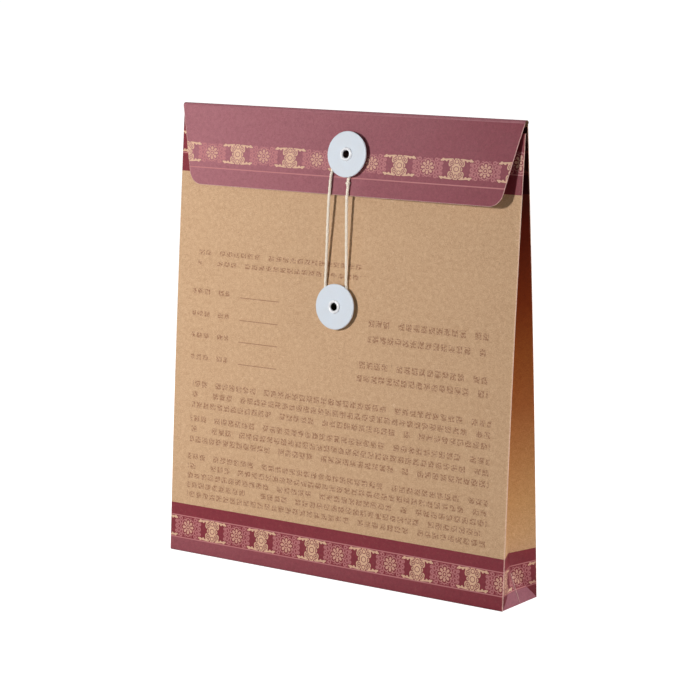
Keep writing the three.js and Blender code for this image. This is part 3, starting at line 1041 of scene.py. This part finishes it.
TANGENT = math.asin(CORNER_NORMAL[1])
corner_rows = [CORNER_T - FLAP_CORNER * math.sin(math.pi / 2 + (TANGENT - math.pi / 2) * k / 9) for k in range(10)]
patch_x = (UPPER[0] - HOLE_PATCH, 8, UPPER[0] + HOLE_PATCH)
patch_up = (-UPPER[1] - HOLE_PATCH, 8, -UPPER[1] + HOLE_PATCH)
across_flap = steps(-WIDTH / 2, 16, -FREE_X, 16, *patch_x, 16, FREE_X, 16, WIDTH / 2)
up_flap = corner_rows + steps(corner_rows[-1], 3, *patch_up, 6, 0.0)[1:]
flap_quads = grid(across_flap, up_flap, flap_warp, hole=(UPPER[0], -UPPER[1]))
flap_board = thick("flap_board", flap_quads, flap_place, [flap_print, kraft_inside, flap_edge])
dress(flap_board, "flap", "closure_flap")

FOLD_LENGTH = FOLD_RADIUS * (math.pi - FLAP_TILT - LEAN)
fold_strip = thick(
    "fold_strip",
    grid(steps(-WIDTH / 2, 60, WIDTH / 2), steps(0.0, 16, FOLD_LENGTH)),
    fold_place,
    [fold_print, kraft_inside, shaded_fold_edge],
)
dress(fold_strip, None, "flap_fold")
fold_start, fold_end = (tuple(fold_place(0, t, 0)) for t in (0, FOLD_LENGTH))
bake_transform(fold_strip)

# Buttons, with heights in millimetres off the sheet's outer face

SPACER_TOP = 2.3
DISC_LOW = SPACER_TOP + 0.1
DISC_TOP = DISC_LOW + 1.0
FLANGE_LOW = DISC_TOP + 0.1
STRING_HEIGHT = 1.2


def rounded(radius, height, edge, quarter, count=4):
    """Points of a rounded profile corner, quarter 0 outside below, 1 outside above."""
    points = []
    for k in range(count + 1):
        angle = math.pi / 2 * k / count
        if quarter == 0:
            points.append((radius - edge + edge * math.sin(angle), height + edge - edge * math.cos(angle)))
        else:
            points.append((radius - edge + edge * math.cos(angle), height - edge + edge * math.sin(angle)))
    return points


def button(name, frame_matrix, fixed_body, disc_body):
    """Spacer, washer and eyelet, in their places on a sheet."""
    spacer = [(HOLE_RADIUS, 0.1), (SPACER_RADIUS, 0.1), (SPACER_RADIUS, SPACER_TOP), (HOLE_RADIUS, SPACER_TOP)]
    hub = lathe(f"{name}_hub", spacer, frame_matrix, [washer_material])
    dress(hub, fixed_body, f"{name}_spacer")
    disc = [(HOLE_RADIUS, DISC_LOW)]
    disc += rounded(DISC_RADIUS, DISC_LOW, 0.3, 0) + rounded(DISC_RADIUS, DISC_TOP, 0.4, 1)
    disc += [(11.6, DISC_TOP + 0.02), (8.0, DISC_TOP - 0.02), (HOLE_RADIUS, DISC_TOP)]
    washer = lathe(f"{name}_washer", disc, frame_matrix, [washer_material], wobble=0.006)
    dress(washer, disc_body, f"{name}_disc")
    bore, barrel, flange, clinch = 2.1, 2.4, 3.7, 3.5  # radii of the eyelet
    rim = (flange - bore) / 2
    profile = [
        (bore, -1.0),
        (clinch, -1.0),
        (clinch, -0.5),
        (barrel, -0.5),
        (barrel, FLANGE_LOW),
        (flange, FLANGE_LOW),
    ]
    for k in range(1, 12):
        angle = math.pi * k / 12
        profile.append((flange - rim + rim * math.cos(angle), FLANGE_LOW + math.sin(angle)))
    profile.append((bore, FLANGE_LOW))
    # Painted shade: the bore and the clinch's underside take the dark material
    dark = (len(profile) - 1, 0, 1)
    grommet = lathe(f"{name}_grommet", profile, frame_matrix, [eyelet_material, bore_shade_material], dark, 64)
    dress(grommet, fixed_body, f"{name}_eyelet")


def flap_at(x, down, off):
    return flap_point(x, down, off + flap_lift(x, down))


def front_at(x, up, off):
    return leaf_point(-1, x, up, off + panel_bow(x, up))


upper_frame = place_on(flap_at, UPPER[0], UPPER[1], 0.0)
lower_frame = place_on(front_at, LOWER[0], LOWER_UP, 0.0)
button("upper", upper_frame, "flap", "upper_washer")
button("lower", lower_frame, "front", "lower_washer")

# String: one length round both hubs, its ends knotted under the upper washer


def near_upper(x, down, rise=0.0):
    """A point of the string's middle, seen from the upper button."""
    return upper_frame @ (Vector((x, -down, STRING_HEIGHT + rise)) * MM)


def near_lower(x, down, rise=0.0):
    return lower_frame @ (Vector((x, -down, STRING_HEIGHT + rise)) * MM)


def hub_arc(near, radius, centre_down, start, end, count):
    points = []
    for k in range(count + 1):
        angle = math.radians(start + (end - start) * k / count)
        points.append(near(radius * math.cos(angle), centre_down + radius * math.sin(angle)))
    return points


HUB_REACH = SPACER_RADIUS + STRING_RADIUS + FIT
LOOP_SPREAD = 1.1
EDGE_DOWN = FLAP_LENGTH - UPPER[1]
route = [
    near_upper(1.15, 15.6, 0.1),
    near_upper(1.1, 18.6),
    near_upper(1.05, EDGE_DOWN - 1),
    near_upper(1.0, EDGE_DOWN + 1.5),
    near_lower(5.9, -20, 0.6),
    near_lower(5.8, -11),
    *hub_arc(near_lower, HUB_REACH + LOOP_SPREAD, -LOOP_SPREAD, -10, 190, 12),
    near_lower(-8, -10),
    near_lower(-7.6, -20, 0.6),
    near_upper(-10.8, EDGE_DOWN + 1.5),
    near_upper(-10.7, EDGE_DOWN - 1),
    near_upper(-10, 9.5),
    *hub_arc(near_upper, HUB_REACH, 0, 170, 380, 12),
    near_upper(2.4, 10.2),
    near_upper(1.2, 12.6),
    near_upper(1.15, 15.4, 0.1),
]


def catmull(points, per_piece=14):
    """Centripetal Catmull-Rom curve through the points, densely sampled."""
    padded = [points[0] * 2 - points[1], *points, points[-1] * 2 - points[-2]]
    made = []
    for i in range(1, len(padded) - 2):
        p = padded[i - 1 : i + 3]
        knots = [0.0]
        for k in range(3):
            knots.append(knots[-1] + max((p[k + 1] - p[k]).length, 1e-9) ** 0.5)
        for k in range(per_piece):
            t = knots[1] + (knots[2] - knots[1]) * k / per_piece
            a = [
                p[j] * ((knots[j + 1] - t) / (knots[j + 1] - knots[j]))
                + p[j + 1] * ((t - knots[j]) / (knots[j + 1] - knots[j]))
                for j in range(3)
            ]
            b = [
                a[j] * ((knots[j + 2] - t) / (knots[j + 2] - knots[j]))
                + a[j + 1] * ((t - knots[j]) / (knots[j + 2] - knots[j]))
                for j in range(2)
            ]
            span = knots[2] - knots[1]
            made.append(b[0] * ((knots[2] - t) / span) + b[1] * ((t - knots[1]) / span))
    made.append(points[-1].copy())
    return made


def even(points, gap):
    """The same line with points a steady distance apart."""
    lengths = [0.0]
    for a, b in zip(points, points[1:]):
        lengths.append(lengths[-1] + (b - a).length)
    count = max(2, round(lengths[-1] / gap))
    made = []
    k = 0
    for i in range(count + 1):
        at = lengths[-1] * i / count
        while k < len(points) - 2 and lengths[k + 1] < at:
            k += 1
        share = (at - lengths[k]) / max(lengths[k + 1] - lengths[k], 1e-12)
        made.append(points[k].lerp(points[k + 1], min(max(share, 0.0), 1.0)))
    return made


CORD_SIDES = 12
PLY_DEPTH = 0.13
PLY_FILL = 0.93  # brings the plies' crests back to about the cord's radius


def ply_cord(name, points, radius, pitch, closed=False):
    """A twisted three-ply cord swept along the points, radius and pitch in millimetres."""
    sides = CORD_SIDES
    count = len(points)
    tangents = []
    for i in range(count):
        ahead = points[(i + 1) % count] if closed or i < count - 1 else points[i]
        behind = points[i - 1] if closed or i > 0 else points[i]
        tangents.append((ahead - behind).normalized())
    normal = tangents[0].orthogonal().normalized()
    vertices = []
    uvs = []
    faces = []
    length = 0.0
    for i in range(count):
        if i:
            normal = (normal - tangents[i] * normal.dot(tangents[i])).normalized()
            length += (points[i] - points[i - 1]).length / MM
        side = tangents[i].cross(normal)
        for k in range(sides):
            angle = 2 * math.pi * k / sides
            lobe = 1 + PLY_DEPTH * math.cos(3 * (angle - 2 * math.pi * length / pitch / 3))
            wide = radius * lobe * MM * PLY_FILL
            vertices.append(points[i] + normal * (wide * math.cos(angle)) + side * (wide * math.sin(angle)))
            uvs.append((length / pitch, k / sides))
    rings = count if closed else count - 1
    for i in range(rings):
        n = (i + 1) % count
        for k in range(sides):
            m = (k + 1) % sides
            faces.append([i * sides + k, i * sides + m, n * sides + m, n * sides + k])
    if not closed:
        faces.append(list(range(sides))[::-1])
        faces.append([(count - 1) * sides + k for k in range(sides)])
    return finish_mesh(name, vertices, faces, [cotton_material], [0] * len(faces), uvs, angle=70)


string_cord = ply_cord("string_cord", even(catmull(route), 0.45 * MM), STRING_RADIUS, 3.6)
dress(string_cord, "string", "tie_string")

KNOT_POINTS = 90
KNOT_SIZE = (0.25, 0.36, 0.42)
knot_frame = upper_frame @ Matrix.Translation(Vector((1.15, -15.6, STRING_HEIGHT + 0.25)) * MM)
knot_line = []
for step in range(KNOT_POINTS):
    angle = 2 * math.pi * step / KNOT_POINTS
    trefoil = (
        math.sin(angle) + 2 * math.sin(2 * angle),
        math.cos(angle) - 2 * math.cos(2 * angle),
        -math.sin(3 * angle),
    )
    knot_line.append(knot_frame @ (Vector([a * size for a, size in zip(trefoil, KNOT_SIZE)]) * MM))
knot = ply_cord("knot_cord", knot_line, 0.5, 3.0, closed=True)
dress(knot, "string", "string_knot")

# The string and its knot each get a mesh of their own

for cord in (string_cord, knot):
    tuple(near_upper(0, 2.6))
    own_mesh(cord)

# Bottom layers keep their solids: plain inside, printed below

for name in ("bottom_inner_flap", "bottom_tab_right", "bottom_tab_left"):
    for slot in range(max(1, len(nodes[name].material_slots))):
        nodes[name].data.materials[slot] = kraft_solid
nodes["bottom_outer_flap"].data.materials[0] = base_print

# Floor, lights and background


def make_stage():
    size = 6
    mesh = bpy.data.meshes.new("floor")
    mesh.from_pydata([(-size, -size, 0), (size, -size, 0), (size, size, 0), (-size, size, 0)], [], [(0, 1, 2, 3)])
    floor = bpy.data.objects.new("floor", mesh)
    floor.location.z = -0.00005
    bpy.context.collection.objects.link(floor)
    material, net, shader = new_material("floor")
    shader.inputs["Base Color"].default_value = (0.5, 0.5, 0.5, 1)
    shader.inputs["Roughness"].default_value = 1.0
    shader.inputs["Specular IOR Level"].default_value = 0.0
    path = net.node("ShaderNodeLightPath")
    net.put(shader.inputs["Emission Color"], (1.0, 1.0, 1.0, 1.0))
    ground = net.split(net.node("ShaderNodeTexCoord").outputs["Object"])
    away = to_point(net, ground[0], ground[1], 0.0, 0.0).above(0.6, 0.9)
    net.put(shader.inputs["Emission Strength"], Value(net, path.outputs["Is Camera Ray"]) * (away * 0.2 + 0.84))
    mesh.materials.append(material)


make_stage()


def area_light(name, place, size, power, spread, target=(0, 0, 0.12)):
    """A square lamp that looks at the target. The spread is in degrees."""
    data = bpy.data.lights.new(name, "AREA")
    data.size = size
    data.energy = power
    data.spread = math.radians(spread)
    lamp = bpy.data.objects.new(name, data)
    lamp.location = place
    lamp.rotation_mode = "QUATERNION"
    lamp.rotation_quaternion = (Vector(target) - Vector(place)).to_track_quat("-Z", "Y")
    bpy.context.collection.objects.link(lamp)


area_light("key", (-0.22, -0.95, 0.4), 0.1, 4.2, 120, target=(-0.33, 0, 0.17))
area_light("left", (-1.0, 0.1, 0.45), 0.4, 1.3, 100, target=(-0.11, 0, 0.05))
area_light("back", (0.2, 1.0, 0.42), 0.5, 2.6, 120)
area_light("right", (1.0, 0.0, 0.45), 0.4, 1.55, 80, target=(0.11, 0, 0.03))

# The world lights the object softly, most from the left and behind, and is white to the camera

world = bpy.data.worlds.new("world")
bpy.context.scene.world = world
world.use_nodes = True
world_net = Net(world.node_tree)
background = world.node_tree.nodes["Background"]
path = Value(world_net, world_net.node("ShaderNodeLightPath").outputs["Is Camera Ray"])
aim = world_net.split(world_net.node("ShaderNodeTexCoord").outputs["Generated"])
room = aim[0].below(0.0, 1.6) * 0.08 + aim[1].above(0.5, 0.8) * 0.4 + 0.03
world_net.put(background.inputs["Strength"], path * 1.05 + (1.0 - path) * room)
background.inputs["Color"].default_value = (1, 1, 1, 1)

bpy.context.scene.view_settings.view_transform = "Standard"
